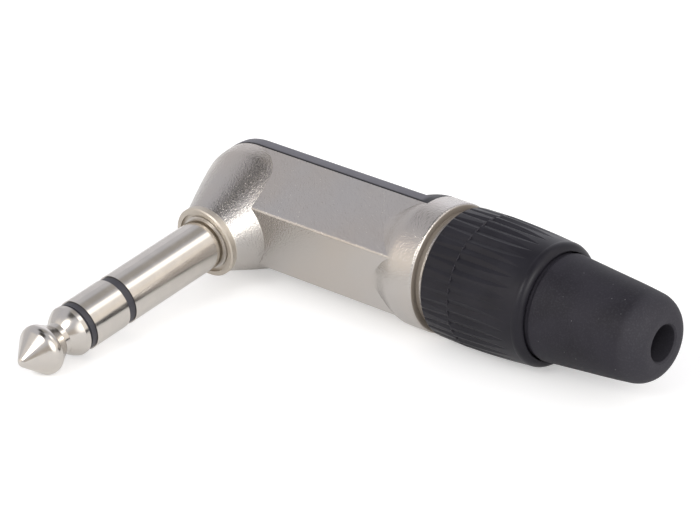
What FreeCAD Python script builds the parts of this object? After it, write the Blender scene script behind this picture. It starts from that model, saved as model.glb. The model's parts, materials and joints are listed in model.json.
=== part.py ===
import FreeCAD, Part
import math
import os

V = FreeCAD.Vector
os.makedirs("parts", exist_ok=True)

# All sizes are in millimetres. The origin is on the finger's axis, at the front face of the
# flange the finger stands in. The finger points along -Y, the body runs along +X to the gland,
# and Z is across the body, which is the same above and below Z = 0.

# contact finger
FINGER_R = 3.175
FINGER_LENGTH = 31.4
ROOT_STEP = 0.275
SLEEVE_STEP = 0.15
BAND_WIDTH = 1.1
BAND_STEP = 0.35
BAND_SET_IN = 0.155
BAND_STEP_IN = 0.12
RING_WIDTH = 5.4
ROD_R = 1.2
RING_TUBE_R = 2.1
TUBE_WALL = 0.38
SLIP = 0.02

# tip: cone, rounded belt, waist and bulb, each length following the one before it
TIP_CONE = 41.5
TIP_ROUND = 0.85
TIP_SHOULDER_IN = 0.395
TIP_BELT_IN = 0.035
BELT_RUN = 0.81
TIP_HEEL_IN = 0.315
HEEL_RUN = 0.9
WAIST_IN = 1.155
WAIST_RUN = 1.38
WAIST_WIDTH = 0.7
BULB_IN = 0.03
BULB_RISE = 1.6
BULB_LAND = 0.55
BULB_BEND = [(0.533, 0.438)]

# body, half of a hexagon in section, with the finger's nose across one end
HEX_R = 8.0
BODY_Y = 11.25
RIDGE_ROUND = 0.45
WALL = 1.45
NOSE_FOOT_WALL = 0.87
NOSE_KNEE_IN = 0.28
NOSE_KNEE_DROP = 2.65
NOSE_BELL = [(0.2735, 0.2614), (0.5471, 0.5203), (0.8, 0.7778)]
NOSE_CROWN = [(0.75, 0.3396), (0.9643, 0.6792)]
CAVITY_KNEE = 0.6
FLANGE_LIP = 0.23
FLANGE_THICK = 0.95
FLANGE_EDGE = 0.16
RECESS_MARGIN = 0.725
RECESS_DEPTH = 0.35

# barrel the gland screws on, turned round the body's own axis
SHOULDER_X = 22.9
SHOULDER_LENGTH = 4.0
BARREL_LENGTH = 3.2
RIM_ROUND = 0.36
COLLAR_STEP = 0.9
COLLAR_LENGTH = 1.75
NECK_STEP = 1.0
NECK_LENGTH = 7.9
NECK_CHAMFER = 0.4
NECK_WALL = 0.9
CAVITY_RUN = 1.8
KEY_WIDTH = 1.4
KEY_DEPTH = 0.45
KEY_LENGTH = 5.0

# back cover
COVER_THICK = 1.9
COVER_EDGE = 0.35
COVER_GAP = 0.06
REVEAL = 0.16
SKIRT_DEPTH = 1.3
SKIRT_WALL = 0.9
SKIRT_GAP = 0.1
PIN_R = 0.45
PIN_LENGTH = 1.6
PIN_GAP = 0.05
PIN_END_GAP = 0.3
PIN_SETBACK = 1.1
HUMP_WALL = 1.3
HUMP_LENGTH = 7.1
HUMP_KNEE_BACK = 4.6
HUMP_KNEE_DROP = 1.9
HUMP_FOOT_BEND = (0.7, 0.4048)
HUMP_CROWN_BEND = (0.3855, 0.6737)

# gland nut
NUT_STANDOFF = 1.15
NUT_PROUD = 0.05
NUT_GAP = 0.05
NUT_CHAMFER = 0.4
NUT_FACE_IN = 0.5
NUT_FALL = 0.5
BREAK_RUN = 4.35
FADE_RUN = 1.85
THREAD_DEPTH = 0.52
THREAD_RELIEF = 0.25
SEAT_GAP = 0.5
SEAT_LENGTH = 3.0
SEAT_FALL = 1.32
NUT_WALL = 1.05
GROOVE_WIDTH = 2.4
LIP_WIDTH = 1.95
LIP_DEPTH = 0.38
LIP_ROUND = 1.15
LIP_FACE = 0.12
RIBS = 36
RIB_DEPTH_FRONT = 0.2
RIB_DEPTH_BACK = 0.25
RIB_HALF_FRONT = 7.4
RIB_HALF_BACK = 6.6

# rubber boot held in the nut
BOOT_GAP = 0.08
BOOT_LENGTH = 14.95
BOOT_NECK_PLAY = 0.26
BOOT_SKIRT_PLAY = 0.1
BOOT_SKIRT_START = 0.25
BOOT_SKIRT_RISE = 0.35
BOOT_NOSE = 2.6
BOOT_TAPER = 1.1
BOOT_RIM = 0.85
BOOT_SIDE = [(0.2426, 0.2273), (0.4979, 0.4727), (0.7532, 0.7091)]
BOOT_ROUND = [(0.5192, 0.1897), (0.8654, 0.5431)]
CABLE_LAND = 5.0
CABLE_EDGE = 0.2
HOLLOW_FLARE = 2.4

# clamp chuck round the cable
CHUCK_GAP = 0.06
CHUCK_TAIL = 4.5
CHUCK_HEAD_STEP = 0.65
CHUCK_HEAD_GAP = 0.15
CHUCK_CONE_GAP = 0.12
CHUCK_NIP = 0.3
JAW_WALL = 2.6
CHUCK_PLAY = 0.35
CHUCK_TOOTH = 0.35
CHUCK_TOOTH_PITCH = 0.5
CHUCK_EDGE = 0.2
CHUCK_SLOTS = 6
CHUCK_SLOT = 0.7
CHUCK_SLOT_START = 1.2

# terminals stacked on the rod behind the finger
LUG_THICK = 0.4
LUG_WIDTH = 2.4
LUG_HOLE_R = 0.65
LUG_AIR = 0.28
LUG_RAMP = 0.6
KNEE_RUN = 0.5
SLEEVE_RIM = 1.225
SLEEVE_REACH = 19.0
SLEEVE_LIFT = 0.8
RING_RIM = 1.4
RING_REACH = 15.0
RING_LIFT = 0.2
RING_PEEN = 0.1
TIP_RIM = 1.6
TIP_REACH = 10.0
TIP_LIFT = 0.3
WASHER_THICK = 0.75
FRONT_WASHER_WIDTH = 1.98
REAR_WASHER_WIDTH = 2.5
ROD_WASHER_WIDTH = 1.1
ROD_WASHER_THICK = 0.35
HEAD_LIP = 0.7
HEAD_HEIGHT = 0.8
HEAD_EDGE = 0.2
STACK_GAP = 0.02
LINER_THICK = 0.35
LINER_GAP = 0.05
LINER_START = 2.3
LINER_END_GAP = 0.2
LINER_TOP_GAP = 0.15

# room that a cutter reaches past the piece it cuts
PAST = 1.0

COS30 = math.cos(math.radians(30))
TAN30 = math.tan(math.radians(30))

# radii along the body: barrel, collar, neck, bore, nut and boot follow one another
COLLAR_R = HEX_R - COLLAR_STEP
THREAD_ROOT_R = COLLAR_R - NECK_STEP
BORE_R = THREAD_ROOT_R - NECK_WALL
NUT_R = HEX_R + NUT_PROUD
NUT_THREAD_R = THREAD_ROOT_R + THREAD_DEPTH
SEAT_EXIT_R = NUT_THREAD_R - SEAT_FALL
GROOVE_R = NUT_R - NUT_WALL
MOUTH_R = GROOVE_R - LIP_DEPTH
BOOT_NECK_R = MOUTH_R - BOOT_NECK_PLAY
BOOT_SKIRT_R = MOUTH_R - BOOT_SKIRT_PLAY
CHUCK_HEAD_R = BORE_R + CHUCK_HEAD_STEP
CHUCK_BORE_R = BORE_R - JAW_WALL
CABLE_R = CHUCK_BORE_R - CHUCK_PLAY

# stations along the body, from the shoulder to the boot's end
RING_X = SHOULDER_X + SHOULDER_LENGTH
BARREL_END = RING_X + BARREL_LENGTH
COLLAR_END = BARREL_END + COLLAR_LENGTH
NECK_END = BARREL_END + NECK_LENGTH
CAVITY_END = SHOULDER_X + CAVITY_RUN
NUT_START = BARREL_END + NUT_STANDOFF
NUT_BREAK = NUT_START + BREAK_RUN
SEAT_START = NECK_END + SEAT_GAP
SEAT_END = SEAT_START + SEAT_LENGTH
GROOVE_END = SEAT_END + GROOVE_WIDTH
NUT_END = GROOVE_END + LIP_WIDTH
NUT_FADE = NUT_END - FADE_RUN
NUT_ROUND_X = NUT_END - LIP_ROUND
BOOT_END = NUT_END + BOOT_LENGTH
HUMP_FOOT_X = RING_X - HUMP_LENGTH
HUMP_KNEE_X = RING_X - HUMP_KNEE_BACK
HUMP_KNEE_R = HEX_R - HUMP_KNEE_DROP

# radii and stations of the finger and its nose
SLEEVE_ROOT_R = FINGER_R + ROOT_STEP
BAND_R = FINGER_R - BAND_SET_IN
RECESS_R = FINGER_R + RECESS_MARGIN
NOSE_FOOT_R = SLEEVE_ROOT_R + NOSE_FOOT_WALL
FLANGE_R = NOSE_FOOT_R + FLANGE_LIP
NOSE_KNEE_R = HEX_R - NOSE_KNEE_IN
NOSE_KNEE_Y = BODY_Y - NOSE_KNEE_DROP
HEAD_R = ROD_R + HEAD_LIP
SLEEVE_RIM_R = FINGER_R + SLEEVE_RIM
LUG_KNEE = SLEEVE_RIM_R + KNEE_RUN


def bent(points, mids=()):
    """Closed face in the XY plane; mids gives a bulge point for the edge that starts at an index."""
    mids = dict(mids)
    edges = []
    for i, start in enumerate(points):
        end = points[(i + 1) % len(points)]
        a = V(start[0], start[1], 0)
        b = V(end[0], end[1], 0)
        if i in mids:
            middle = mids[i]
            if isinstance(middle, list):
                curve = Part.BSplineCurve()
                through = [V(p[0], p[1], 0) for p in middle]
                curve.interpolate([a] + through + [b])
                edges.append(curve.toShape())
            else:
                edges.append(Part.Arc(a, V(middle[0], middle[1], 0), b).toShape())
        else:
            edges.append(Part.makeLine(a, b))
    return Part.Face(Part.Wire(edges))


def between(start, end, shares):
    """Points between two others, each given as its shares of the way in the two directions."""
    width = end[0] - start[0]
    height = end[1] - start[1]
    return [(start[0] + width * u, start[1] + height * v) for u, v in shares]


def spun_y(points, mids=()):
    """Solid turned round the finger's axis; points are (radius, y)."""
    return bent(points, mids).revolve(V(0, 0, 0), V(0, 1, 0), 360)


def spun_x(points, mids=()):
    """Solid turned round the body's axis; points are (x, radius)."""
    lifted = [(x, BODY_Y + r) for x, r in points]
    moved = {}
    for key, value in dict(mids).items():
        if isinstance(value, list):
            moved[key] = [(x, BODY_Y + r) for x, r in value]
        else:
            moved[key] = (value[0], BODY_Y + value[1])
    return bent(lifted, moved).revolve(V(0, BODY_Y, 0), V(1, 0, 0), 360)


def rod_y(radius, y0, y1, x=0.0, z=0.0):
    """Round rod along the finger's direction."""
    return Part.makeCylinder(radius, y1 - y0, V(x, y0, z), V(0, 1, 0))


def rod_x(radius, x0, x1):
    """Round rod along the body's axis."""
    return Part.makeCylinder(radius, x1 - x0, V(x0, BODY_Y, 0), V(1, 0, 0))


def tube_y(outer, inner, y0, y1):
    """Round tube along the finger's direction."""
    return rod_y(outer, y0, y1).cut(rod_y(inner, y0 - PAST, y1 + PAST))


def box(x0, x1, y0, y1, z0, z1):
    """Box between two corners."""
    return Part.makeBox(x1 - x0, y1 - y0, z1 - z0, V(x0, y0, z0))


def half_hex(radius, x0, x1, rounding):
    """Prism along X whose section is the front half of a hexagon round the body's axis."""
    drop = radius * COS30
    corners = [
        V(x0, BODY_Y, -radius),
        V(x0, BODY_Y - drop, -radius / 2),
        V(x0, BODY_Y - drop, radius / 2),
        V(x0, BODY_Y, radius),
    ]
    face = Part.Face(Part.makePolygon(corners + [corners[0]]))
    prism = face.extrude(V(x1 - x0, 0, 0))
    ridges = []
    for edge in prism.Edges:
        centre = edge.CenterOfMass
        if abs(centre.y - (BODY_Y - drop)) < 0.01 and abs(abs(centre.z) - radius / 2) < 0.01:
            ridges.append(edge)
    return prism.makeFillet(rounding, ridges) if rounding else prism


# the tip's rounded point and the cone behind it
CONE_LEAN = math.radians(TIP_CONE)
DOME_R = TIP_ROUND * math.cos(CONE_LEAN)
DOME_H = TIP_ROUND * (1 - math.sin(CONE_LEAN))
TIP_SHOULDER_R = FINGER_R - TIP_SHOULDER_IN
TIP_SHOULDER = DOME_H + (TIP_SHOULDER_R - DOME_R) / math.tan(CONE_LEAN)

# stations of the tip, measured back from the very tip
TIP_BELT = TIP_SHOULDER + BELT_RUN
TIP_HEEL = TIP_BELT + HEEL_RUN
WAIST_START = TIP_HEEL + WAIST_RUN
WAIST_END = WAIST_START + WAIST_WIDTH
BULB_START = WAIST_END + BULB_RISE
TIP_LENGTH = BULB_START + BULB_LAND

# stations along the finger, measured from the flange's face towards the tip
SLEEVE_LENGTH = FINGER_LENGTH - TIP_LENGTH - RING_WIDTH - 2 * BAND_WIDTH
BAND_A = -SLEEVE_LENGTH - BAND_WIDTH
RING_FRONT = BAND_A - RING_WIDTH
BAND_B = RING_FRONT - BAND_WIDTH
INNER_TUBE_R = ROD_R + SLIP + TUBE_WALL
RING_BORE_R = INNER_TUBE_R + SLIP
OUTER_TUBE_IN = RING_TUBE_R + SLIP
OUTER_TUBE_R = OUTER_TUBE_IN + TUBE_WALL
SLEEVE_BORE_R = OUTER_TUBE_R + SLIP

# the cavity's half hexagon leaves the wall's thickness on every face
CAVITY_HEX_R = HEX_R - WALL / COS30
FLOOR_Y = BODY_Y - CAVITY_HEX_R * COS30

# stations of the terminal stack on the floor of the cavity
LUG_A = FLOOR_Y + STACK_GAP
WASHER_A = LUG_A + LUG_THICK + STACK_GAP
LUG_B = WASHER_A + WASHER_THICK + STACK_GAP
RING_END = LUG_B + LUG_THICK + STACK_GAP + RING_PEEN
WASHER_B = RING_END + STACK_GAP
LUG_C = WASHER_B + WASHER_THICK + STACK_GAP
ROD_WASHER = LUG_C + LUG_THICK + STACK_GAP
ROD_HEAD = ROD_WASHER + ROD_WASHER_THICK + STACK_GAP


def shoulder_curve():
    """Points of the soft shoulder between the flats' level and the barrel's full radius."""
    low = HEX_R * COS30
    rise = HEX_R - low
    points = []
    for k in range(1, 8):
        t = k / 8
        level = low + rise * t * t * (3 - 2 * t)
        points.append((SHOULDER_X + SHOULDER_LENGTH * t, level))
    return points


def nose():
    """Flange and the bell-shaped nose turned round the finger's axis."""
    foot = (NOSE_FOOT_R, FLANGE_THICK)
    knee = (NOSE_KNEE_R, NOSE_KNEE_Y)
    crown = (HEX_R, BODY_Y)
    profile = [
        (0, 0),
        (FLANGE_R - FLANGE_EDGE, 0),
        (FLANGE_R, FLANGE_EDGE),
        (FLANGE_R, FLANGE_THICK - FLANGE_EDGE),
        (FLANGE_R - FLANGE_EDGE, FLANGE_THICK),
        foot,
        knee,
        crown,
        (0, BODY_Y),
    ]
    curves = {
        5: between(foot, knee, NOSE_BELL),
        6: between(knee, crown, NOSE_CROWN),
    }
    return spun_y(profile, curves)


def barrel():
    """Barrel, its rounded rim, the plain collar and the neck the nut screws on."""
    low = HEX_R * COS30
    rim_in = RIM_ROUND * (1 - math.sqrt(0.5))
    profile = [
        (SHOULDER_X, 0),
        (SHOULDER_X, low),
        (RING_X, HEX_R),
        (BARREL_END - RIM_ROUND, HEX_R),
        (BARREL_END, HEX_R - RIM_ROUND),
        (BARREL_END, COLLAR_R),
        (COLLAR_END, COLLAR_R),
        (COLLAR_END + NECK_CHAMFER, THREAD_ROOT_R),
        (NECK_END - NECK_CHAMFER, THREAD_ROOT_R),
        (NECK_END, THREAD_ROOT_R - NECK_CHAMFER),
        (NECK_END, 0),
    ]
    curves = {
        1: shoulder_curve(),
        3: (BARREL_END - rim_in, HEX_R - rim_in),
    }
    turned = spun_x(profile, curves)
    reach = HEX_R + PAST
    behind = box(SHOULDER_X - PAST, RING_X, BODY_Y, BODY_Y + reach, -reach, reach)
    return turned.cut(behind)


def nose_cavity():
    """Room behind the finger, following the nose a wall's thickness in."""
    share = (FLOOR_Y - FLANGE_THICK) / (NOSE_KNEE_Y - FLANGE_THICK)
    foot = NOSE_FOOT_R + (NOSE_KNEE_R - NOSE_FOOT_R) * share - WALL
    profile = [
        (0, FLOOR_Y),
        (foot, FLOOR_Y),
        (CAVITY_HEX_R, NOSE_KNEE_Y + CAVITY_KNEE),
        (CAVITY_HEX_R, BODY_Y + PAST),
        (0, BODY_Y + PAST),
    ]
    return spun_y(profile)


def pin_places():
    """Places of the cover's pins: one at the nose, two beside the barrel's bore."""
    rim = (HEX_R + CAVITY_HEX_R) / 2
    side = (HEX_R + BORE_R) / 2
    beside = RING_X - PIN_SETBACK
    return [(-rim, 0.0), (beside, side), (beside, -side)]


def make_shell():
    """One-piece die-cast housing: flange, nose, half-hexagon body, barrel and neck."""
    solid = half_hex(HEX_R, 0, RING_X, RIDGE_ROUND).fuse(nose()).fuse(barrel())
    room = half_hex(CAVITY_HEX_R, 0, CAVITY_END, 0)
    room = room.fuse(box(0, CAVITY_END, BODY_Y - SLIP, BODY_Y + PAST, -CAVITY_HEX_R, CAVITY_HEX_R))
    room = room.fuse(nose_cavity())
    solid = solid.cut(room)
    solid = solid.cut(rod_x(BORE_R, CAVITY_END - PAST, NECK_END + PAST))
    solid = solid.cut(rod_y(FINGER_R + SLIP / 2, -PAST, FLOOR_Y + PAST))
    solid = solid.cut(rod_y(SLEEVE_ROOT_R + SLIP / 2, SLEEVE_STEP - SLIP, FLOOR_Y + PAST))
    solid = solid.cut(rod_y(RECESS_R, -PAST, RECESS_DEPTH))
    for side in (1, -1):
        z_mid = side * BORE_R
        key = box(NECK_END - KEY_LENGTH, NECK_END + PAST, BODY_Y - KEY_WIDTH / 2,
                  BODY_Y + KEY_WIDTH / 2, z_mid - KEY_DEPTH, z_mid + KEY_DEPTH)
        solid = solid.cut(key)
    for x, z in pin_places():
        hole = rod_y(PIN_R + PIN_GAP, BODY_Y - PIN_LENGTH - PIN_END_GAP, BODY_Y + PAST, x, z)
        solid = solid.cut(hole)
    return solid.removeSplitter()


def cover_slab(y0, y1, radius):
    """Slab whose edge follows the body's round section, with a round end about the finger."""
    stop = RING_X - COVER_GAP
    along = rod_x(radius, 0, stop)
    end = Part.makeSphere(radius, V(0, BODY_Y, 0))
    slab = box(-HEX_R - PAST, stop, y0, y1, -HEX_R - PAST, HEX_R + PAST)
    return along.fuse(end).common(slab).removeSplitter()


def hump(inset, stop):
    """Solid of the cover's hump, rising from the plate to the barrel's radius."""
    foot = (HUMP_FOOT_X + inset, COVER_THICK - inset)
    knee = (HUMP_KNEE_X + inset, HUMP_KNEE_R - inset)
    crown = (RING_X - COVER_GAP, HEX_R - inset)
    points = [
        (foot[0], 0),
        foot,
        knee,
        crown,
        (stop, HEX_R - inset),
        (stop, 0),
    ]
    if stop == crown[0]:
        points.pop(4)
    curves = {
        1: between(foot, knee, [HUMP_FOOT_BEND])[0],
        2: between(knee, crown, [HUMP_CROWN_BEND])[0],
    }
    return spun_x(points, curves)


def make_back_cover():
    """Plastic cover: plate, hump over the cable end, skirt and locating pins."""
    top = BODY_Y + COVER_THICK
    stop = RING_X - COVER_GAP
    reach = HEX_R + PAST
    plate = cover_slab(BODY_Y + REVEAL, top, HEX_R)
    rim = []
    for edge in plate.Edges:
        spot = edge.BoundBox
        if spot.YMin > top - 0.01 and spot.XMin < RING_X - 1:
            rim.append(edge)
    plate = plate.makeFillet(COVER_EDGE, rim)
    plate = plate.fuse(cover_slab(BODY_Y, BODY_Y + REVEAL + SLIP, HEX_R - REVEAL))
    behind = box(HUMP_FOOT_X - PAST, stop, BODY_Y, BODY_Y + reach, -reach, reach)
    hollow_room = box(HUMP_FOOT_X, RING_X + PAST, BODY_Y - PAST, BODY_Y + reach, -reach, reach)
    hollow = hump(HUMP_WALL, RING_X + PAST).common(hollow_room)
    cover = plate.fuse(hump(0.0, stop).common(behind)).cut(hollow)
    outer = CAVITY_HEX_R - SKIRT_GAP
    end = CAVITY_END - SKIRT_GAP
    skirt = skirt_block(outer, end).cut(skirt_block(outer - SKIRT_WALL, end - SKIRT_WALL))
    skirt = skirt.cut(rod_x(BORE_R, end - SKIRT_WALL - PAST, CAVITY_END + PAST))
    cover = cover.fuse(skirt)
    for x, z in pin_places():
        cover = cover.fuse(rod_y(PIN_R, BODY_Y - PIN_LENGTH, BODY_Y + COVER_THICK / 2, x, z))
    return cover.removeSplitter()


def skirt_block(radius, x_end):
    """Round-ended block that fits the mouth of the cavity, tapering with its slanted walls."""
    bottom = radius - SKIRT_DEPTH * TAN30
    y0 = BODY_Y - SKIRT_DEPTH
    y1 = BODY_Y + 2 * REVEAL
    corners = [
        V(0, y0, -bottom),
        V(0, y0, bottom),
        V(0, BODY_Y, radius),
        V(0, y1, radius),
        V(0, y1, -radius),
        V(0, BODY_Y, -radius),
    ]
    bar = Part.Face(Part.makePolygon(corners + [corners[0]])).extrude(V(x_end, 0, 0))
    end = spun_y([(0, y0), (bottom, y0), (radius, BODY_Y), (radius, y1), (0, y1)])
    return bar.fuse(end)


def make_sleeve_contact():
    """Outer sleeve of the finger, with a thicker root pressed in from behind the flange."""
    tube = tube_y(FINGER_R, SLEEVE_BORE_R, -SLEEVE_LENGTH, LUG_A + LUG_THICK)
    root = tube_y(SLEEVE_ROOT_R, SLEEVE_BORE_R, SLEEVE_STEP, FLOOR_Y)
    return tube.fuse(root).removeSplitter()


def make_outer_tube():
    """Thin insulating tube between the sleeve and the ring contact's tail."""
    return tube_y(OUTER_TUBE_R, OUTER_TUBE_IN, BAND_A, LUG_A + LUG_THICK)


def make_ring_band():
    """Black band between the sleeve and the ring contact."""
    return tube_y(BAND_R, OUTER_TUBE_R + SLIP, BAND_A + SLIP, -SLEEVE_LENGTH - SLIP)


def make_ring_contact():
    """Ring contact with a long tail that carries its terminal."""
    head = tube_y(FINGER_R, RING_BORE_R, RING_FRONT, BAND_A)
    tail = tube_y(RING_TUBE_R, RING_BORE_R, BAND_A, RING_END)
    return head.fuse(tail).removeSplitter()


def make_inner_tube():
    """Thin insulating tube between the ring contact and the rod."""
    return tube_y(INNER_TUBE_R, ROD_R + SLIP, BAND_B, RING_END)


def make_tip_band():
    """Black band behind the tip, with a fine step at its front."""
    body = tube_y(BAND_R, INNER_TUBE_R + SLIP, BAND_B + BAND_STEP, RING_FRONT - SLIP)
    step = tube_y(BAND_R - BAND_STEP_IN, INNER_TUBE_R + SLIP, BAND_B + SLIP, BAND_B + BAND_STEP)
    return body.fuse(step).removeSplitter()


def dome_middle(radius, height):
    """Halfway point of a dome's section: its distance from the axis and its fall from the top."""
    sphere = (radius ** 2 + height ** 2) / (2 * height)
    angle = math.asin(radius / sphere) / 2
    return sphere * math.sin(angle), sphere * (1 - math.cos(angle))


def make_tip_contact():
    """Tip with its cone, waist and bulb, and the rod that runs back to the terminals."""
    tip = -FINGER_LENGTH
    waist_r = FINGER_R - WAIST_IN
    tip_mid = dome_middle(DOME_R, DOME_H)
    dome = HEAD_HEIGHT / 2
    head_mid = dome_middle(HEAD_R - HEAD_EDGE, dome)
    waist = (waist_r, tip + WAIST_END)
    bulb = (FINGER_R - BULB_IN, tip + BULB_START)
    profile = [
        (0, tip),
        (DOME_R, tip + DOME_H),
        (TIP_SHOULDER_R, tip + TIP_SHOULDER),
        (FINGER_R - TIP_HEEL_IN, tip + TIP_HEEL),
        (waist_r, tip + WAIST_START),
        waist,
        bulb,
        (bulb[0], BAND_B),
        (ROD_R, BAND_B),
        (ROD_R, ROD_HEAD),
        (HEAD_R, ROD_HEAD),
        (HEAD_R - HEAD_EDGE, ROD_HEAD + dome),
        (0, ROD_HEAD + HEAD_HEIGHT),
    ]
    curves = {
        0: (tip_mid[0], tip + tip_mid[1]),
        2: (FINGER_R - TIP_BELT_IN, tip + TIP_BELT),
        5: between(waist, bulb, BULB_BEND)[0],
        11: (head_mid[0], ROD_HEAD + HEAD_HEIGHT - head_mid[1]),
    }
    return spun_y(profile, curves)


def lug_side(level):
    """Distance of a side lug's middle from Z = 0, clear of the liner on the slanted wall."""
    wall = CAVITY_HEX_R / 2 + (level - FLOOR_Y) * TAN30
    return wall - (LINER_GAP + LINER_THICK) / COS30 - LUG_WIDTH / 2 - LUG_AIR


def lug(y, bore, rim, z_mid, reach, drop):
    """Flat ring terminal with a solder lug reaching along the body, cranked once by drop."""
    ring = tube_y(rim, bore, y, y + LUG_THICK)
    knee = LUG_KNEE
    half = LUG_WIDTH / 2
    side = 1 if z_mid >= 0 else -1
    near = [(rim / 2, z_mid - half), (knee, z_mid - half), (knee, z_mid + half),
            (rim / 2, z_mid + half)]
    if z_mid:
        inside = z_mid - side * half
        outside = z_mid + side * half
        near = [(rim / 3, side * half / 3), (knee - 3 * KNEE_RUN, inside), (knee, inside),
                (knee, outside), (knee - 4 * KNEE_RUN, outside), (0, side * (rim - LUG_AIR))]
    path = [V(x, y, z) for x, z in near]
    strap = Part.Face(Part.makePolygon(path + [path[0]])).extrude(V(0, LUG_THICK, 0))
    strap = strap.cut(rod_y(bore, y - PAST, y + LUG_THICK + PAST))
    ramp_end = knee + 2 * LUG_RAMP + abs(drop)
    line = [
        V(knee - SLIP, y, z_mid - half),
        V(knee + LUG_RAMP, y, z_mid - half),
        V(ramp_end, y + drop, z_mid - half),
        V(reach, y + drop, z_mid - half),
        V(reach, y + drop + LUG_THICK, z_mid - half),
        V(ramp_end, y + drop + LUG_THICK, z_mid - half),
        V(knee + LUG_RAMP, y + LUG_THICK, z_mid - half),
        V(knee - SLIP, y + LUG_THICK, z_mid - half),
    ]
    tail = Part.Face(Part.makePolygon(line + [line[0]])).extrude(V(0, 0, LUG_WIDTH))
    tail = tail.fuse(rod_y(half, y + drop, y + drop + LUG_THICK, reach, z_mid))
    tail = tail.cut(rod_y(LUG_HOLE_R, y + drop - PAST, y + drop + 2 * PAST, reach, z_mid))
    return ring.fuse(strap).fuse(tail).removeSplitter()


def make_sleeve_terminal():
    """Terminal clamped on the sleeve's end, with its lug along one wall."""
    side = -lug_side(LUG_A + SLEEVE_LIFT)
    return lug(LUG_A, FINGER_R + SLIP, SLEEVE_RIM_R, side, SLEEVE_REACH, SLEEVE_LIFT)


def make_front_washer():
    """Insulating washer between the sleeve's and the ring's terminals."""
    rim = OUTER_TUBE_IN + FRONT_WASHER_WIDTH
    return tube_y(rim, OUTER_TUBE_IN, WASHER_A, WASHER_A + WASHER_THICK)


def make_ring_terminal():
    """Terminal peened on the ring contact's tail."""
    side = lug_side(LUG_B + RING_LIFT)
    rim = RING_TUBE_R + RING_RIM
    return lug(LUG_B, RING_TUBE_R + SLIP, rim, side, RING_REACH, RING_LIFT)


def make_rear_washer():
    """Insulating washer between the ring's and the tip's terminals."""
    rim = ROD_R + REAR_WASHER_WIDTH
    return tube_y(rim, ROD_R + SLIP, WASHER_B, WASHER_B + WASHER_THICK)


def make_tip_terminal():
    """Terminal riveted on the rod's end."""
    return lug(LUG_C, ROD_R + SLIP, ROD_R + TIP_RIM, 0.0, TIP_REACH, TIP_LIFT)


def make_rod_washer():
    """Small brass washer under the rod's peened head."""
    rim = ROD_R + ROD_WASHER_WIDTH
    return tube_y(rim, ROD_R + SLIP, ROD_WASHER, ROD_WASHER + ROD_WASHER_THICK)


def make_cavity_liner():
    """Thin insulating trough that keeps the wires off the metal walls."""
    start = LUG_KNEE + LINER_START
    end = CAVITY_END - LINER_END_GAP
    outer = half_hex(CAVITY_HEX_R - LINER_GAP, start, end, 0)
    inner = half_hex(CAVITY_HEX_R - LINER_GAP - LINER_THICK, start - PAST, end + PAST, 0)
    top = BODY_Y - SKIRT_DEPTH - LINER_TOP_GAP
    open_top = box(start - PAST, end + PAST, top, BODY_Y + PAST, -HEX_R, HEX_R)
    return outer.cut(inner).cut(open_top).removeSplitter()


def make_chuck():
    """Slotted clamp: round tail in the barrel's bore, conical jaws in the nut's seat."""
    tail_r = BORE_R - CHUCK_GAP
    head = NECK_END + CHUCK_HEAD_GAP
    tail = NECK_END - CHUCK_TAIL
    lean = SEAT_FALL / SEAT_LENGTH
    nip = SEAT_END - CHUCK_NIP
    cone_r = NUT_THREAD_R - lean * (nip - SEAT_START) - CHUCK_CONE_GAP
    cone_x = SEAT_START + (NUT_THREAD_R - CHUCK_CONE_GAP - CHUCK_HEAD_R) / lean
    profile = [
        (tail, CHUCK_BORE_R),
        (tail, tail_r - CHUCK_EDGE),
        (tail + CHUCK_EDGE, tail_r),
        (head, tail_r),
        (head, CHUCK_HEAD_R),
        (cone_x, CHUCK_HEAD_R),
        (nip, cone_r),
        (nip, CHUCK_BORE_R + CHUCK_TOOTH),
    ]
    for k in range(1, 6):
        radius = CHUCK_BORE_R + (0 if k % 2 else CHUCK_TOOTH)
        profile.append((nip - CHUCK_TOOTH_PITCH * k, radius))
    chuck = spun_x(profile)
    for side in (1, -1):
        inner = side * (BORE_R - KEY_DEPTH)
        outer = side * (BORE_R + KEY_DEPTH - CHUCK_GAP)
        key = box(tail + CHUCK_SLOT, NECK_END - CHUCK_GAP, BODY_Y - KEY_WIDTH / 2 + CHUCK_GAP,
                  BODY_Y + KEY_WIDTH / 2 - CHUCK_GAP, min(inner, outer), max(inner, outer))
        chuck = chuck.fuse(key)
    start = tail + CHUCK_SLOT_START
    for k in range(CHUCK_SLOTS):
        slot = box(start, nip + PAST, BODY_Y + CABLE_R / 2, BODY_Y + HEX_R, -CHUCK_SLOT / 2,
                   CHUCK_SLOT / 2)
        slot.rotate(V(0, BODY_Y, 0), V(1, 0, 0), 360 * (k + 0.5) / CHUCK_SLOTS)
        chuck = chuck.cut(slot)
    return chuck.removeSplitter()


def nut_radius(x):
    """Outside radius of the nut between its break line and its rounded lip."""
    share = (x - NUT_BREAK) / (NUT_ROUND_X - NUT_BREAK)
    return NUT_R - NUT_FALL * share ** 1.75


def nut_outline():
    """Outside of the nut from its chamfered end over the taper to the rounded lip."""
    points = [
        (NUT_START, NUT_R - NUT_FACE_IN),
        (NUT_START + NUT_CHAMFER, NUT_R - 2 * NUT_GAP),
        (NUT_BREAK, NUT_R),
        (NUT_ROUND_X, NUT_R - NUT_FALL),
        (NUT_END, MOUTH_R + LIP_FACE),
    ]
    taper = []
    for share in (0.22, 0.44, 0.66, 0.86):
        x = NUT_BREAK + (NUT_ROUND_X - NUT_BREAK) * share
        taper.append((x, nut_radius(x)))
    bulge = LIP_ROUND / 4
    return points, {2: taper, 3: (NUT_END - bulge, NUT_R - NUT_FALL - bulge)}


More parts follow.
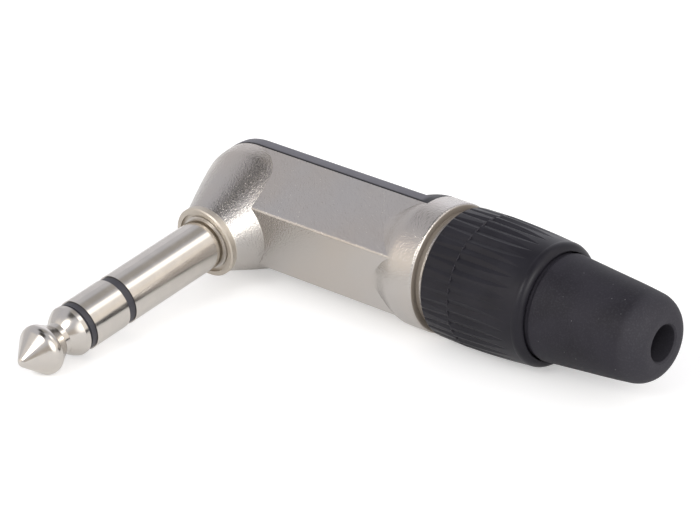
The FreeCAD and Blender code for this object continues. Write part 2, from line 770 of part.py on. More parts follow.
def nut_bore():
    """Inside of the nut: counterbore, thread length, conical seat, boot groove and mouth."""
    counterbore = COLLAR_R + NUT_GAP
    relief = COLLAR_END + THREAD_RELIEF
    points = [
        (NUT_END, MOUTH_R),
        (GROOVE_END, MOUTH_R),
        (GROOVE_END, GROOVE_R),
        (SEAT_END, GROOVE_R),
        (SEAT_END, SEAT_EXIT_R),
        (SEAT_START, NUT_THREAD_R),
        (relief + counterbore - NUT_THREAD_R, NUT_THREAD_R),
        (relief, counterbore),
        (NUT_START, counterbore),
    ]
    return points


def flute(x0, x1, depth0, depth1, half0, half1):
    """Three-sided cutter that leaves a groove narrowing and shallowing along the nut."""
    sections = []
    for x, depth, half in ((x0, depth0, half0), (x1, depth1, half1)):
        base = nut_radius(max(x, NUT_BREAK))
        deep = base - depth
        out = base + NUT_CHAMFER
        reach = math.tan(math.radians(half)) * out * 1.6
        corners = [
            V(x, BODY_Y + deep, 0),
            V(x, BODY_Y + out, -reach),
            V(x, BODY_Y + out, reach),
        ]
        sections.append(Part.makePolygon(corners + [corners[0]]))
    return Part.makeLoft(sections, True, True)


def make_gland_nut():
    """Ribbed gland nut, with two bands of flutes that meet at a break line."""
    outline, curves = nut_outline()
    nut = spun_x(outline + nut_bore(), curves)
    front = flute(NUT_START - PAST, NUT_BREAK, RIB_DEPTH_FRONT, RIB_DEPTH_FRONT, RIB_HALF_FRONT,
                  RIB_HALF_FRONT)
    back = flute(NUT_BREAK, NUT_FADE, RIB_DEPTH_BACK, -SLIP, RIB_HALF_BACK, RIB_HALF_BACK)
    cutters = []
    for k in range(RIBS):
        for tool, shift in ((front, 0.5), (back, 0.0)):
            turned = tool.copy()
            turned.rotate(V(0, BODY_Y, 0), V(1, 0, 0), 360 * (k + shift) / RIBS)
            cutters.append(turned)
    return nut.cut(cutters)


def make_boot():
    """Tapered rubber boot with a flange snapped in the nut and a round cable hole."""
    flange_r = GROOVE_R - BOOT_GAP
    start = SEAT_END + BOOT_GAP
    stop = GROOVE_END - BOOT_GAP
    skirt_x = NUT_END + BOOT_SKIRT_START
    skirt = (skirt_x + BOOT_SKIRT_RISE, BOOT_SKIRT_R)
    edge = (BOOT_END - BOOT_NOSE, BOOT_SKIRT_R - BOOT_TAPER)
    end = (BOOT_END, CABLE_R + BOOT_RIM)
    outer = [
        (start, CABLE_R + HOLLOW_FLARE),
        (start, flange_r),
        (stop, flange_r),
        (stop, BOOT_NECK_R),
        (skirt_x, BOOT_NECK_R),
        skirt,
        edge,
        end,
        (BOOT_END, CABLE_R + CABLE_EDGE),
        (BOOT_END - CABLE_EDGE, CABLE_R),
        (BOOT_END - CABLE_LAND, CABLE_R),
    ]
    curves = {
        5: between(skirt, edge, BOOT_SIDE),
        6: between(edge, end, BOOT_ROUND),
    }
    return spun_x(outer, curves)


PARTS = {
    "shell": make_shell,
    "back_cover": make_back_cover,
    "sleeve_contact": make_sleeve_contact,
    "outer_tube": make_outer_tube,
    "ring_band": make_ring_band,
    "ring_contact": make_ring_contact,
    "inner_tube": make_inner_tube,
    "tip_band": make_tip_band,
    "tip_contact": make_tip_contact,
    "sleeve_terminal": make_sleeve_terminal,
    "front_washer": make_front_washer,
    "ring_terminal": make_ring_terminal,
    "rear_washer": make_rear_washer,
    "tip_terminal": make_tip_terminal,
    "rod_washer": make_rod_washer,
    "cavity_liner": make_cavity_liner,
    "chuck": make_chuck,
    "gland_nut": make_gland_nut,
    "boot": make_boot,
}

for name, build in PARTS.items():
    build().exportStep("parts/" + name + ".step")
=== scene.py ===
import json
import logging
import math
from dataclasses import dataclass
from enum import Enum
from typing import Any

import bmesh
import bpy
from mathutils import Matrix, Vector


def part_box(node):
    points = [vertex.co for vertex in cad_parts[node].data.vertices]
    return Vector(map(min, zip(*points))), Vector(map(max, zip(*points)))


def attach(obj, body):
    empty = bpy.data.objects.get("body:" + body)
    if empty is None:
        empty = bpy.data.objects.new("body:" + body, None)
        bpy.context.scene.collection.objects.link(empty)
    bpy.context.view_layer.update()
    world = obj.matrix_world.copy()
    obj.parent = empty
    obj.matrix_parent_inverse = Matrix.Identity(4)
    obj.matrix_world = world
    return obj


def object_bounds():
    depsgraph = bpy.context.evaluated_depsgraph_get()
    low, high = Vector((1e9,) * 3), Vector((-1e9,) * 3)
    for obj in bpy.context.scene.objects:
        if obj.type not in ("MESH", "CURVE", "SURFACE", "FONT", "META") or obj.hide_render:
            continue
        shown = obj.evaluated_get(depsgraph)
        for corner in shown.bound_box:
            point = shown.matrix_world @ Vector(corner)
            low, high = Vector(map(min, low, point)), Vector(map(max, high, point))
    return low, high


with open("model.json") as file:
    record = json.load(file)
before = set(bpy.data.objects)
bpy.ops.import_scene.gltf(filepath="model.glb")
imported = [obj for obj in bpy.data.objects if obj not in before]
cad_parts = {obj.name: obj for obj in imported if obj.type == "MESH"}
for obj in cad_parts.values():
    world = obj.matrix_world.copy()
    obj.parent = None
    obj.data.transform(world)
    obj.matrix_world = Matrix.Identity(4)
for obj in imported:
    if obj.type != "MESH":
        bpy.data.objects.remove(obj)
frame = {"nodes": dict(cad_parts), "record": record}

LOG = logging.getLogger("jack_plug")
MM = 0.001
CAD_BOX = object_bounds()
BODY_AXIS_MM = 11.25

# the sockets of a Mix node that carry colours
MIX_FIRST = 6
MIX_SECOND = 7
MIX_RESULT = 2

Triple = tuple[float, float, float]
Colour = tuple[float, float, float]
Span = tuple[float, float]


class Body(Enum):
    """The bodies that carry a thread ridge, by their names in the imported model."""

    HOUSING = "housing"
    GLAND = "gland"


class Axis(Enum):
    """One of the plug's own axes, by its place in a vector."""

    X = 0
    Y = 1
    Z = 2


class Value:
    """A socket that carries a number, so that shader maths reads as plain expressions."""

    def __init__(self, bench: "Bench", socket: bpy.types.NodeSocket) -> None:
        """Wraps a socket.

        Args:
            bench: The bench whose node tree holds the socket.
            socket: An output socket with a number.
        """
        self.bench = bench
        self.socket = socket

    def _maths(self, operation: str, *operands: Any) -> "Value":
        """Adds one Math node.

        Args:
            operation: The Math node's operation.
            operands: Numbers or values, in the node's order.

        Returns:
            The node's result.
        """
        inputs = {i: operand for i, operand in enumerate(operands)}
        return self.bench.value("ShaderNodeMath", {"operation": operation}, inputs)

    def __add__(self, other: Any) -> "Value":
        """Sum."""
        return self._maths("ADD", self, other)

    def __radd__(self, other: Any) -> "Value":
        """Sum with a number on the left."""
        return self._maths("ADD", other, self)

    def __sub__(self, other: Any) -> "Value":
        """Difference."""
        return self._maths("SUBTRACT", self, other)

    def __rsub__(self, other: Any) -> "Value":
        """Difference from a number on the left."""
        return self._maths("SUBTRACT", other, self)

    def __mul__(self, other: Any) -> "Value":
        """Product."""
        return self._maths("MULTIPLY", self, other)

    def __rmul__(self, other: Any) -> "Value":
        """Product with a number on the left."""
        return self._maths("MULTIPLY", other, self)

    def __truediv__(self, other: Any) -> "Value":
        """Quotient."""
        return self._maths("DIVIDE", self, other)

    def __rtruediv__(self, other: Any) -> "Value":
        """Quotient with a number on the left."""
        return self._maths("DIVIDE", other, self)

    def __pow__(self, other: Any) -> "Value":
        """Power."""
        return self._maths("POWER", self, other)

    def __rpow__(self, other: Any) -> "Value":
        """Power of a number on the left."""
        return self._maths("POWER", other, self)

    def ramp(self, low: float, high: float) -> "Value":
        """Makes a soft step.

        Args:
            low: Where the step is still 0.
            high: Where it has reached 1.

        Returns:
            The step as a value from 0 to 1.
        """
        settings = {"interpolation_type": "SMOOTHSTEP"}
        inputs = {"Value": self, "From Min": low, "From Max": high}
        return self.bench.value("ShaderNodeMapRange", settings, inputs, "Result")


class Bench:
    """Builds the nodes of one material or world tree."""

    def __init__(self, tree: bpy.types.NodeTree) -> None:
        """Empties the tree and keeps it.

        Args:
            tree: The node tree to build in.
        """
        self.tree = tree
        tree.nodes.clear()

    def node(self, kind: str, settings: dict[str, Any] | None = None,
             inputs: dict[int | str, Any] | None = None) -> bpy.types.Node:
        """Makes any node.

        Args:
            kind: The node's type name.
            settings: Properties, set before the sockets.
            inputs: Numbers, colours, sockets or values, by socket name or index.

        Returns:
            The new node.
        """
        node = self.tree.nodes.new(kind)
        for name, setting in (settings or {}).items():
            setattr(node, name, setting)
        for key, given in (inputs or {}).items():
            if isinstance(given, Value):
                given = given.socket
            if isinstance(given, bpy.types.NodeSocket):
                self.tree.links.new(given, node.inputs[key])
            else:
                node.inputs[key].default_value = given
        return node

    def value(self, kind: str, settings: dict[str, Any] | None = None,
              inputs: dict[int | str, Any] | None = None, output: int | str = 0) -> Value:
        """Makes a node and wraps one of its outputs.

        Args:
            kind: The node's type name.
            settings: As for node.
            inputs: As for node.
            output: Name or index of the output.

        Returns:
            The output as a value.
        """
        return Value(self, self.node(kind, settings, inputs).outputs[output])

    def millimetres(self) -> bpy.types.NodeSocket:
        """Reads the place on the part.

        Returns:
            The place, in millimetres of the plug's own frame.
        """
        place = self.node("ShaderNodeTexCoord").outputs["Object"]
        inputs = {0: place, "Scale": 1 / MM}
        return self.node("ShaderNodeVectorMath", {"operation": "SCALE"}, inputs).outputs[0]

    def along(self, place: bpy.types.NodeSocket, axis: Axis) -> Value:
        """One coordinate of a place."""
        return self.value("ShaderNodeSeparateXYZ", None, {0: place}, axis.value)

    def stretched(self, place: bpy.types.NodeSocket, by: Triple) -> bpy.types.NodeSocket:
        """Place multiplied axis by axis, for grain that runs one way."""
        inputs = {0: place, 1: by}
        return self.node("ShaderNodeVectorMath", {"operation": "MULTIPLY"}, inputs).outputs[0]

    def noise(self, place: bpy.types.NodeSocket, scale: float, detail: float = 2.0,
              roughness: float = 0.5) -> Value:
        """Smooth noise from 0 to 1.

        Args:
            place: Where on the part, in millimetres.
            scale: Patches per millimetre.
            detail: How many finer layers are added.
            roughness: How strong the finer layers are.

        Returns:
            The noise as a value.
        """
        inputs = {"Vector": place, "Scale": scale, "Detail": detail, "Roughness": roughness}
        return self.value("ShaderNodeTexNoise", None, inputs)

    def blend(self, share: Any, first: Any, second: Any) -> bpy.types.NodeSocket:
        """Mixes two colours.

        Args:
            share: How much of the second colour shows, a number or a value.
            first: Colour, with three numbers, or socket.
            second: Colour, with three numbers, or socket.

        Returns:
            The mixed colour's socket.
        """
        fixed = [(*c, 1.0) if isinstance(c, tuple) else c for c in (first, second)]
        inputs = {0: share, MIX_FIRST: fixed[0], MIX_SECOND: fixed[1]}
        return self.node("ShaderNodeMix", {"data_type": "RGBA"}, inputs).outputs[MIX_RESULT]

    def bump(self, height: Value, depth_mm: float, strength: float = 1.0,
             below: bpy.types.NodeSocket | None = None) -> bpy.types.NodeSocket:
        """Turns a height into a normal.

        Args:
            height: Height from 0 to 1.
            depth_mm: What a height of 1 stands for.
            strength: Share of the full effect.
            below: Normal of a coarser bump that this one lies on.

        Returns:
            The normal's socket.
        """
        inputs = {"Strength": strength, "Distance": depth_mm * MM, "Height": height}
        if below is not None:
            inputs["Normal"] = below
        return self.node("ShaderNodeBump", None, inputs).outputs[0]


@dataclass(frozen=True)
class Finish:
    """A surface finish; the subclasses add what changes over the surface."""

    name: str
    colour: Colour
    roughness: float
    metallic: float = 0.0
    specular: float = 0.5

    def material(self) -> bpy.types.Material:
        """Builds the material.

        Returns:
            A node material whose Principled shader has this finish.
        """
        material = bpy.data.materials.new(self.name)
        material.use_nodes = True
        bench = Bench(material.node_tree)
        shader = bench.node("ShaderNodeBsdfPrincipled", None, {
            "Base Color": (*self.colour, 1.0),
            "Roughness": self.roughness,
            "Metallic": self.metallic,
            "Specular IOR Level": self.specular,
        })
        self.dress(bench, shader)
        bench.node("ShaderNodeOutputMaterial", None, {"Surface": shader.outputs[0]})
        return material

    def dress(self, bench: Bench, shader: bpy.types.Node) -> None:
        """Adds what changes over the surface.

        Args:
            bench: The material's bench.
            shader: Its Principled shader.
        """
        raise NotImplementedError

    def link(self, bench: Bench, shader: bpy.types.Node, **sockets: Any) -> None:
        """Links values to the shader's sockets.

        Args:
            bench: The material's bench.
            shader: Its Principled shader.
            sockets: Values or sockets, by the socket's name with underscores for spaces.
        """
        for name, given in sockets.items():
            source = given.socket if isinstance(given, Value) else given
            bench.tree.links.new(source, shader.inputs[name.replace("_", " ")])


@dataclass(frozen=True)
class SatinNickel(Finish):
    """Nickel plate on a tumbled zinc casting: a fine pebbled grain with small sparkles."""

    grain_per_mm: float = 4.2
    grain_roughness: float = 0.62
    grain_depth_mm: float = 0.055
    grain_gloss: float = 0.10
    sparkle_times: float = 1.7
    sparkle_share: float = 0.4
    wave_per_mm: float = 0.16
    wave_depth_mm: float = 0.05
    wave_strength: float = 0.5
    drift_per_mm: float = 0.09
    drift_ramp: Span = (0.35, 0.65)
    warm: Colour = (0.525, 0.485, 0.445)
    flange_mm: float = 0.95
    flange_fade_mm: float = 0.25
    flange_haze: float = 0.25
    flange_share: float = 0.7
    flange_tone: Colour = (0.60, 0.54, 0.455)
    groove_mm: Span = (30.06, 30.66)
    groove_fade_mm: Span = (0.04, 0.06)
    # grime and painted shade for the groove between the barrel's rim and the nut
    groove_grime_and_shade: Colour = (0.25, 0.215, 0.18)
    groove_haze: float = 0.35
    groove_metal_cover: float = 0.85

    def dress(self, bench: Bench, shader: bpy.types.Node) -> None:
        """Adds grain, waviness, a drift of tone, the flange's haze, and grime with painted shade
        in the groove.

        Args:
            bench: The material's bench.
            shader: Its Principled shader.
        """
        place = bench.millimetres()
        grain = bench.noise(place, self.grain_per_mm, detail=3.0, roughness=self.grain_roughness)
        sparkle = bench.noise(place, self.grain_per_mm * self.sparkle_times, detail=1.0)
        wave = bench.noise(place, self.wave_per_mm, detail=1.0)
        drift = bench.noise(place, self.drift_per_mm).ramp(*self.drift_ramp)
        lowest = bench.bump(wave, self.wave_depth_mm, self.wave_strength)
        coarse = bench.bump(grain, self.grain_depth_mm, below=lowest)
        normal = bench.bump(sparkle, self.grain_depth_mm * self.sparkle_share, below=coarse)
        plate = bench.blend(drift, self.colour, self.warm)
        flange_end = self.flange_mm + self.flange_fade_mm
        flange = 1 - bench.along(place, Axis.Y).ramp(self.flange_mm, flange_end)
        clean = bench.blend(flange * self.flange_share, plate, self.flange_tone)
        x = bench.along(place, Axis.X)
        start, end = self.groove_mm
        fade_in, fade_out = self.groove_fade_mm
        # painted shade: the groove by the barrel's rim is painted a dull brown, part grime and
        # part the shade of the recess
        groove = x.ramp(start - fade_in, start) * (1 - x.ramp(end - fade_out, end))
        colour = bench.blend(groove, clean, self.groove_grime_and_shade)
        rough = self.roughness + (grain - 0.5) * self.grain_gloss
        rough = rough + flange * self.flange_haze + groove * self.groove_haze
        metal = 1 - groove * self.groove_metal_cover
        self.link(bench, shader, Base_Color=colour, Roughness=rough, Metallic=metal,
                  Normal=normal)


@dataclass(frozen=True)
class BrightNickel(Finish):
    """Polished nickel plate on turned brass, with faint rings left by the tool."""

    rings_per_mm: float = 9.0
    ring_stretch: Triple = (0.25, 1.0, 0.25)
    ring_depth_mm: float = 0.0011
    haze_per_mm: float = 0.55
    haze_ramp: Span = (0.38, 0.72)
    haze_gloss: float = 0.05
    haze_share: float = 0.35
    hazed: Colour = (0.70, 0.655, 0.60)
    scuffs_per_mm: float = 1.6
    scuff_stretch: Triple = (6.0, 0.45, 6.0)
    scuff_ramp: Span = (0.66, 0.74)
    scuff_gloss: float = 0.06
    root_mm: Span = (0.05, 0.12)
    root_haze: float = 0.30

    def dress(self, bench: Bench, shader: bpy.types.Node) -> None:
        """Adds turning rings, handling haze, hairline scuffs and the dull face of the root.

        Args:
            bench: The material's bench.
            shader: Its Principled shader.
        """
        place = bench.millimetres()
        ring_place = bench.stretched(place, self.ring_stretch)
        rings = bench.noise(ring_place, self.rings_per_mm, detail=1.0)
        haze = bench.noise(place, self.haze_per_mm, detail=3.0).ramp(*self.haze_ramp)
        scuff_place = bench.stretched(place, self.scuff_stretch)
        scuffs = bench.noise(scuff_place, self.scuffs_per_mm).ramp(*self.scuff_ramp)
        normal = bench.bump(rings, self.ring_depth_mm)
        root = bench.along(place, Axis.Y).ramp(*self.root_mm)
        rough = self.roughness + haze * self.haze_gloss + scuffs * self.scuff_gloss
        rough = rough + root * self.root_haze
        tone = bench.blend(haze * self.haze_share, self.colour, self.hazed)
        self.link(bench, shader, Base_Color=tone, Roughness=rough, Normal=normal)


@dataclass(frozen=True)
class MouldedPlastic(Finish):
    """Moulded plastic with a light spark-eroded texture."""

    texture_per_mm: float = 7.0
    texture_depth_mm: float = 0.004
    patches_per_mm: float = 0.3
    patch_ramp: Span = (0.35, 0.7)
    patch_share: float = 0.6
    paler_times: float = 1.35
    paler_by: float = 0.002
    dull: float = 0.08

    def tone(self, bench: Bench, place: bpy.types.NodeSocket,
             patch: Value) -> bpy.types.NodeSocket:
        """Colour over the surface, a little paler in the dull patches.

        Args:
            bench: The material's bench.
            place: Place on the part, in millimetres; not used here.
            patch: 1 in a dull patch and 0 outside.

        Returns:
            The colour's socket.
        """
        paler = tuple(c * self.paler_times + self.paler_by for c in self.colour)
        return bench.blend(patch * self.patch_share, self.colour, paler)

    def dress(self, bench: Bench, shader: bpy.types.Node) -> None:
        """Adds the mould's texture and slight dull patches.

        Args:
            bench: The material's bench.
            shader: Its Principled shader.
        """
        place = bench.millimetres()
        texture = bench.noise(place, self.texture_per_mm)
        patch = bench.noise(place, self.patches_per_mm).ramp(*self.patch_ramp)
        colour = self.tone(bench, place, patch)
        normal = bench.bump(texture, self.texture_depth_mm)
        rough = self.roughness + patch * self.dull
        self.link(bench, shader, Base_Color=colour, Roughness=rough, Normal=normal)


@dataclass(frozen=True)
class LidPlastic(MouldedPlastic):
    """The back cover's black plastic, with a painted sheen along the side of its straight part.
    """

    seam_mm: float = BODY_AXIS_MM
    seam_fade_mm: Span = (0.25, 0.42)
    thick_mm: float = 1.9
    back_fade_mm: Span = (0.3, 0.05)
    straight_end_mm: float = 26.3
    end_fade_mm: float = 0.8
    # painted light: the paler tone of the side's painted sheen
    painted_light_tone: Colour = (0.112, 0.110, 0.128)

    def tone(self, bench: Bench, place: bpy.types.NodeSocket,
             patch: Value) -> bpy.types.NodeSocket:
        """Colour over the surface: a painted sheen on the side, with the seam's line left black
        as a painted shadow line, and the back and the hump left black.

        Args:
            bench: The material's bench.
            place: Place on the part, in millimetres.
            patch: 1 in a dull patch and 0 outside.

        Returns:
            The colour's socket.
        """
        height = bench.along(place, Axis.Y)
        seam_start, seam_end = (self.seam_mm + fade for fade in self.seam_fade_mm)
        back = self.seam_mm + self.thick_mm
        back_start, back_end = (back - fade for fade in self.back_fade_mm)
        side = height.ramp(seam_start, seam_end) * (1 - height.ramp(back_start, back_end))
        hump_side = self.straight_end_mm - self.end_fade_mm
        straight = 1 - bench.along(place, Axis.X).ramp(hump_side, self.straight_end_mm)
        black = super().tone(bench, place, patch)
        # painted light: the side's straight part is painted paler as a sheen, and a painted
        # shadow line stays black along the seam
        return bench.blend(side * straight, black, self.painted_light_tone)


@dataclass(frozen=True)
class NutPlastic(MouldedPlastic):
    """The gland nut's plastic, with painted light on the small walls between its bands of flutes.
    """

    break_mm: float = 35.6
    break_fade_mm: Span = (0.010, 0.020)
    land_radius_mm: float = 8.05
    land_fade_mm: Span = (0.02, 0.005)
    # painted light: the paler tone that lifts the shaded walls at the break line
    painted_light_tone: Colour = (0.064, 0.061, 0.071)

    def tone(self, bench: Bench, place: bpy.types.NodeSocket,
             patch: Value) -> bpy.types.NodeSocket:
        """Colour over the surface, with the walls at the flutes' break line painted paler to lift
        their shade.

        Args:
            bench: The material's bench.
            place: Place on the part, in millimetres.
            patch: 1 in a dull patch and 0 outside.

        Returns:
            The colour's socket.
        """
        x, y, z = (bench.along(place, axis) for axis in Axis)
        radius = ((y - BODY_AXIS_MM) ** 2 + z ** 2) ** 0.5
        full, none = self.break_fade_mm
        walls = x.ramp(self.break_mm - none, self.break_mm - full)
        walls *= 1 - x.ramp(self.break_mm + full, self.break_mm + none)
        land_start, land_end = (self.land_radius_mm - fade for fade in self.land_fade_mm)
        walls *= 1 - radius.ramp(land_start, land_end)
        black = super().tone(bench, place, patch)
        # painted light: the walls at the break line are painted paler so that they do not show
        # dark in their shade
        return bench.blend(walls, black, self.painted_light_tone)


@dataclass(frozen=True)
class Rubber(Finish):
    """Matt rubber with a dry bloom, a fine mottle, a paler handled end and specks of dust."""

    skin_per_mm: float = 6.0
    skin_depth_mm: float = 0.008
    clouds_per_mm: float = 0.22
    cloud_ramp: Span = (0.3, 0.7)
    cloud_dull: float = 0.1
    bloom: Colour = (0.0215, 0.0200, 0.0270)
    end_mm: float = 60.8
    handled_mm: Span = (3.1, 1.7)
    handled: Colour = (0.0300, 0.0285, 0.0355)
    mottle_per_mm: float = 4.8
    mottle_roughness: float = 0.6
    mottle_ramp: Span = (0.46, 0.70)
    mottle_share: float = 0.4
    speckle: Colour = (0.036, 0.0345, 0.042)
    pale_speckle: Colour = (0.054, 0.052, 0.062)
    specks_per_mm: float = 0.75
    speck_sizes_per_mm: float = 0.8
    speck_size: float = 0.15
    least_speck: float = 0.001
    speck_ramp: Span = (0.35, 1.0)
    dust: Colour = (0.20, 0.20, 0.21)
    dust_share: float = 0.45

    def dress(self, bench: Bench, shader: bpy.types.Node) -> None:
        """Adds bloom, mottle, the handled end, dust and a soft skin.

        Args:
            bench: The material's bench.
            shader: Its Principled shader.
        """
        place = bench.millimetres()
        skin = bench.noise(place, self.skin_per_mm, detail=3.0)
        cloud = bench.noise(place, self.clouds_per_mm, detail=3.0).ramp(*self.cloud_ramp)
        worn_start, worn_end = (self.end_mm - before for before in self.handled_mm)
        worn = bench.along(place, Axis.X).ramp(worn_start, worn_end)
        inputs = {"Vector": place, "Scale": self.specks_per_mm}
        away = bench.value("ShaderNodeTexVoronoi", None, inputs, "Distance")
        size = bench.noise(place, self.speck_sizes_per_mm, detail=1.0) * self.speck_size
        dust = 1 - (away / (size + self.least_speck)).ramp(*self.speck_ramp)
        fresh = bench.blend(cloud, self.colour, self.bloom)
        smooth = bench.blend(worn, fresh, self.handled)
        grain = bench.noise(place, self.mottle_per_mm, detail=3.0,
                            roughness=self.mottle_roughness)
        mottle = grain.ramp(*self.mottle_ramp)
        spot = bench.blend(worn, self.speckle, self.pale_speckle)
        base = bench.blend(mottle * self.mottle_share, smooth, spot)
        colour = bench.blend(dust * self.dust_share, base, self.dust)
        normal = bench.bump(skin, self.skin_depth_mm)
        rough = self.roughness + cloud * self.cloud_dull
        self.link(bench, shader, Base_Color=colour, Roughness=rough, Normal=normal)


@dataclass(frozen=True)
class SheetMetal(Finish):
    """Thin plated or plain sheet, rolled one way."""

    lines_per_mm: float = 2.0
    line_stretch: Triple = (0.4, 6.0, 6.0)
    line_depth_mm: float = 0.003
    line_gloss: float = 0.12
    tarnish_per_mm: float = 0.9
    tarnish_ramp: Span = (0.5, 0.8)
    tarnish_share: float = 0.4
    stain: Colour = (0.45, 0.38, 0.28)

    def dress(self, bench: Bench, shader: bpy.types.Node) -> None:
        """Adds rolling lines and a little tarnish.

        Args:
            bench: The material's bench.
            shader: Its Principled shader.
        """
        place = bench.millimetres()
        lines = bench.noise(bench.stretched(place, self.line_stretch), self.lines_per_mm)
        tarnish = bench.noise(place, self.tarnish_per_mm, detail=3.0).ramp(*self.tarnish_ramp)
        colour = bench.blend(tarnish * self.tarnish_share, self.colour, self.stain)
        normal = bench.bump(lines, self.line_depth_mm)
        rough = self.roughness + lines * self.line_gloss
        self.link(bench, shader, Base_Color=colour, Roughness=rough, Normal=normal)


@dataclass(frozen=True)
class HardPaper(Finish):
    """Laminated hard paper with visible fibres."""

    fibres_per_mm: float = 1.2
    fibre_stretch: Triple = (7.0, 1.0, 1.2)
    fibre_ramp: Span = (0.4, 0.62)
    fibre_dull: float = 0.1
    fibre: Colour = (0.52, 0.33, 0.18)
    layers_per_mm: float = 1.0
    layer_stretch: Triple = (0.2, 12.0, 0.2)
    fibre_relief: float = 0.5
    layer_relief: float = 0.5
    relief_mm: float = 0.01

    def dress(self, bench: Bench, shader: bpy.types.Node) -> None:
        """Adds fibres and layers.

        Args:
            bench: The material's bench.
            shader: Its Principled shader.
        """
        place = bench.millimetres()
        fibre_place = bench.stretched(place, self.fibre_stretch)
        weave = bench.noise(fibre_place, self.fibres_per_mm, detail=3.0)
        fibres = weave.ramp(*self.fibre_ramp)
        layer_place = bench.stretched(place, self.layer_stretch)
        layers = bench.noise(layer_place, self.layers_per_mm, detail=1.0)
        colour = bench.blend(fibres, self.colour, self.fibre)
        relief = fibres * self.fibre_relief + layers * self.layer_relief
        normal = bench.bump(relief, self.relief_mm)
        rough = self.roughness + fibres * self.fibre_dull
        self.link(bench, shader, Base_Color=colour, Roughness=rough, Normal=normal)


FINISHES: dict[str, Finish] = {
    "satin_nickel": SatinNickel(
        "satin_nickel_finish", (0.515, 0.492, 0.470), roughness=0.15, metallic=1.0),
    "bright_nickel": BrightNickel(
        "bright_nickel_finish", (0.585, 0.555, 0.518), roughness=0.15, metallic=1.0),
    "cover_plastic": LidPlastic(
        "cover_plastic_finish", (0.0135, 0.0130, 0.0160), roughness=0.40, specular=0.28),
    "band_black": MouldedPlastic("band_finish", (0.034, 0.033, 0.041), roughness=0.45),
    "insulator": MouldedPlastic("insulator_finish", (0.70, 0.68, 0.60), roughness=0.40),
    "tinned_brass": SheetMetal(
        "tinned_brass_finish", (0.66, 0.65, 0.61), roughness=0.28, metallic=1.0),
    "plain_brass": SheetMetal(
        "plain_brass_finish", (0.74, 0.56, 0.27), roughness=0.26, metallic=1.0),
    "washer_paper": HardPaper("hard_paper_finish", (0.36, 0.20, 0.10), roughness=0.62),
    "chuck_plastic": MouldedPlastic("chuck_finish", (0.055, 0.055, 0.060), roughness=0.48),
    "nut_plastic": NutPlastic(
        "nut_finish", (0.0122, 0.0115, 0.0158), roughness=0.33, specular=0.20),
    "boot_rubber": Rubber(
        "boot_rubber_finish", (0.0130, 0.0118, 0.0165), roughness=0.56, specular=0.22),
}


def body_axis_height() -> float:
    """Distance of the body's own axis from the finger's flange, from the cable entry's mount."""
    entry = next(m for m in frame["record"]["mounts"] if m["name"] == "cable_entry")
    return entry["pos_m"][Axis.Y.value]


@dataclass
class ThreadRidge:
    """One start of screw thread, a ridge wound on a round neck or in a round bore."""

    name: str
    body: Body
    slot: str
    start_mm: float
    end_mm: float
    root_radius_mm: float
    crest_radius_mm: float
    pitch_mm: float = 1.0
    phase: float = 0.0
    base_width_mm: float = 0.52
    crest_width_mm: float = 0.14
    sink_mm: float = 0.03
    steps_a_turn: int = 64
    run_out_turns: float = 0.6

    def section(self, share: float) -> list[Span]:
        """Outline of the ridge at a share of its full height.

        Args:
            share: 0 at a run-out and 1 along the full thread.

        Returns:
            Four points as (place along the axis, radius), in millimetres.
        """
        way = 1 if self.crest_radius_mm > self.root_radius_mm else -1
        foot = self.root_radius_mm - way * self.sink_mm
        crest = self.root_radius_mm + (self.crest_radius_mm - self.root_radius_mm) * share
        half = self.base_width_mm / 2
        top = self.crest_width_mm / 2
        return [(-half, foot), (-top, crest), (top, crest), (half, foot)]

    def rings(self, mesh: bmesh.types.BMesh) -> list[list[bmesh.types.BMVert]]:
        """Sets the sections' corners along the helix.

        Args:
            mesh: The mesh that takes the corners.

        Returns:
            One list of four corners for each section.
        """
        axis_mm = body_axis_height() / MM
        turns = (self.end_mm - self.start_mm) / self.pitch_mm
        count = int(turns * self.steps_a_turn)
        run_out = self.steps_a_turn * self.run_out_turns
        rings = []
        for i in range(count + 1):
            turn = math.tau * i / self.steps_a_turn + self.phase
            along = self.start_mm + self.pitch_mm * i / self.steps_a_turn
            share = min(1.0, i / run_out, (count - i) / run_out)
            ring = []
            for offset, radius in self.section(share):
                y = axis_mm + radius * math.cos(turn)
                spot = Vector((along + offset, y, radius * math.sin(turn)))
                ring.append(mesh.verts.new(spot * MM))
            rings.append(ring)
        return rings

    def build(self) -> bpy.types.Object:
        """Winds the ridge.

        Returns:
            The ridge as a mesh that rides on its body.
        """
        mesh = bmesh.new()
        rings = self.rings(mesh)
        for first, second in zip(rings, rings[1:]):
            for k, corner in enumerate(first):
                after = (k + 1) % len(first)
                mesh.faces.new((corner, first[after], second[after], second[k]))
        mesh.faces.new(rings[0])
        mesh.faces.new(rings[-1][::-1])
        bmesh.ops.recalc_face_normals(mesh, faces=mesh.faces)
        data = bpy.data.meshes.new(self.name)
        mesh.to_mesh(data)
        mesh.free()
        ridge = bpy.data.objects.new(self.name, data)
        bpy.context.scene.collection.objects.link(ridge)
        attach(ridge, self.body.value)
        return ridge


class Dresser:
    """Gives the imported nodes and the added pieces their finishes."""

    def __init__(self) -> None:
        """Builds every finish once."""
        self.materials = {slot: finish.material() for slot, finish in FINISHES.items()}

    def paint(self, piece: bpy.types.Object, slot: str) -> None:
        """Puts one finish on a piece.

        Args:
            piece: The object to dress.
            slot: The record's slot that the finish stands for.
        """
        if not piece.data.materials:
            piece.data.materials.append(self.materials[slot])
        for material_slot in piece.material_slots:
            material_slot.material = self.materials[slot]


